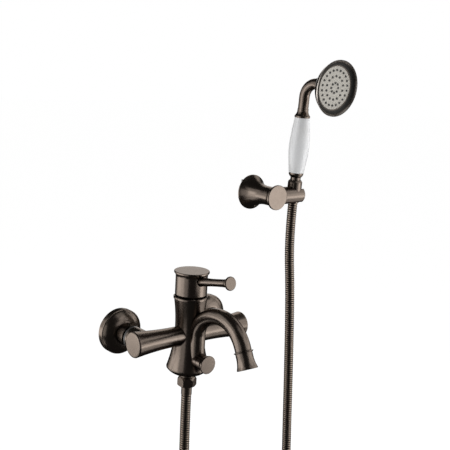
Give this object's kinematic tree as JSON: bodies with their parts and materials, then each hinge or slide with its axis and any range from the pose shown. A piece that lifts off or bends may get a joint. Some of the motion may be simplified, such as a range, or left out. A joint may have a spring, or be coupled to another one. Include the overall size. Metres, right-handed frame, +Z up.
{
  "type": "bath mixer",
  "caption": "Wall-mounted single-lever bath mixer with gooseneck spout, pull diverter, ribbed hose, and hand shower with ceramic grip in a wall holder.",
  "frame": {"origin": "on the wall, midway between the two inlets, at the height of the mixer's two arms", "axes": "+Z up, +Y into the wall, +X along the wall to the right as seen from the room"},
  "size_m": [0.346, 0.222, 0.9177],
  "materials": {
    "bronze": "oil-rubbed bronze coating, satin",
    "hose_bronze": "bronze-coated ribbed metal hose, satin",
    "brass": "bare turned brass",
    "steel": "plain stainless steel",
    "rubber": "matte black seal rubber",
    "black_plastic": "matte black",
    "cartridge_plastic": "satin moulded",
    "disc_ceramic": "lapped",
    "grip_ceramic": "glossy white glaze",
    "plate_plastic": "satin, pale beige grey"
  },
  "bodies": {
    "mixer": {"mixer_body": "bronze", "wall_flange_left": "bronze", "wall_flange_right": "bronze", "inlet_nut_left": "bronze", "inlet_nut_right": "bronze", "spout": "bronze", "aerator_housing": "bronze", "diverter_gland": "bronze", "hose_nut_lower": "bronze", "hose_ferrule_lower": "bronze", "holder_bell": "bronze", "holder_disc": "bronze", "holder_bar": "bronze", "shower_hose": "hose_bronze", "wall_union_left": "brass", "wall_union_right": "brass", "cartridge_clamp_nut": "brass", "holder_wall_plate": "brass", "holder_grub_screw": "steel", "holder_wall_screws": "steel", "inlet_washer_left": "rubber", "inlet_washer_right": "rubber", "cartridge_base_seals": "rubber", "aerator_washer": "rubber", "hose_washer_lower": "rubber", "inlet_ring_left": "black_plastic", "inlet_ring_right": "black_plastic", "cartridge_body": "cartridge_plastic", "cartridge_cover": "cartridge_plastic", "aerator_insert": "cartridge_plastic", "ceramic_disc_fixed": "disc_ceramic"},
    "handle_carrier": {"cartridge_carrier": "cartridge_plastic", "ceramic_disc_moving": "disc_ceramic", "spindle_pin": "steel"},
    "handle": {"cartridge_spindle": "steel", "handle_cap": "bronze", "handle_lever": "bronze", "handle_grub_screw": "steel"},
    "diverter": {"diverter_stem": "brass", "diverter_seal": "rubber", "diverter_knob": "bronze"},
    "handset": {"hose_nut_upper": "bronze", "hose_ferrule_upper": "bronze", "hose_washer_upper": "rubber", "handset_lower_ferrule": "bronze", "handset_grip": "grip_ceramic", "handset_core_tube": "brass", "handset_top_ferrule": "bronze", "handset_neck": "bronze", "handset_head_shell": "bronze", "handset_face_plate": "plate_plastic", "handset_nozzle_mat": "rubber"}
  },
  "joints": [
    {"name": "temperature_turn", "type": "hinge", "parent": "mixer", "child": "handle_carrier", "pos_m": [0, -0.063, 0.066], "axis": [0, 0, 1], "range_deg": [-50, 50]},
    {"name": "lever_lift", "type": "hinge", "parent": "handle_carrier", "child": "handle", "pos_m": [0, -0.063, 0.066], "axis": [-1, 0, 0], "range_deg": [0, 25]},
    {"name": "diverter_pull", "type": "slide", "parent": "mixer", "child": "diverter", "axis": [0, -1, 0], "range_m": [0, 0.008]},
    {"name": "handset_lift", "type": "slide", "parent": "mixer", "child": "handset", "axis": [0, -0.0576, 0.9983], "range_m": [0, 0.06], "deforming": ["shower_hose"]}
  ]
}
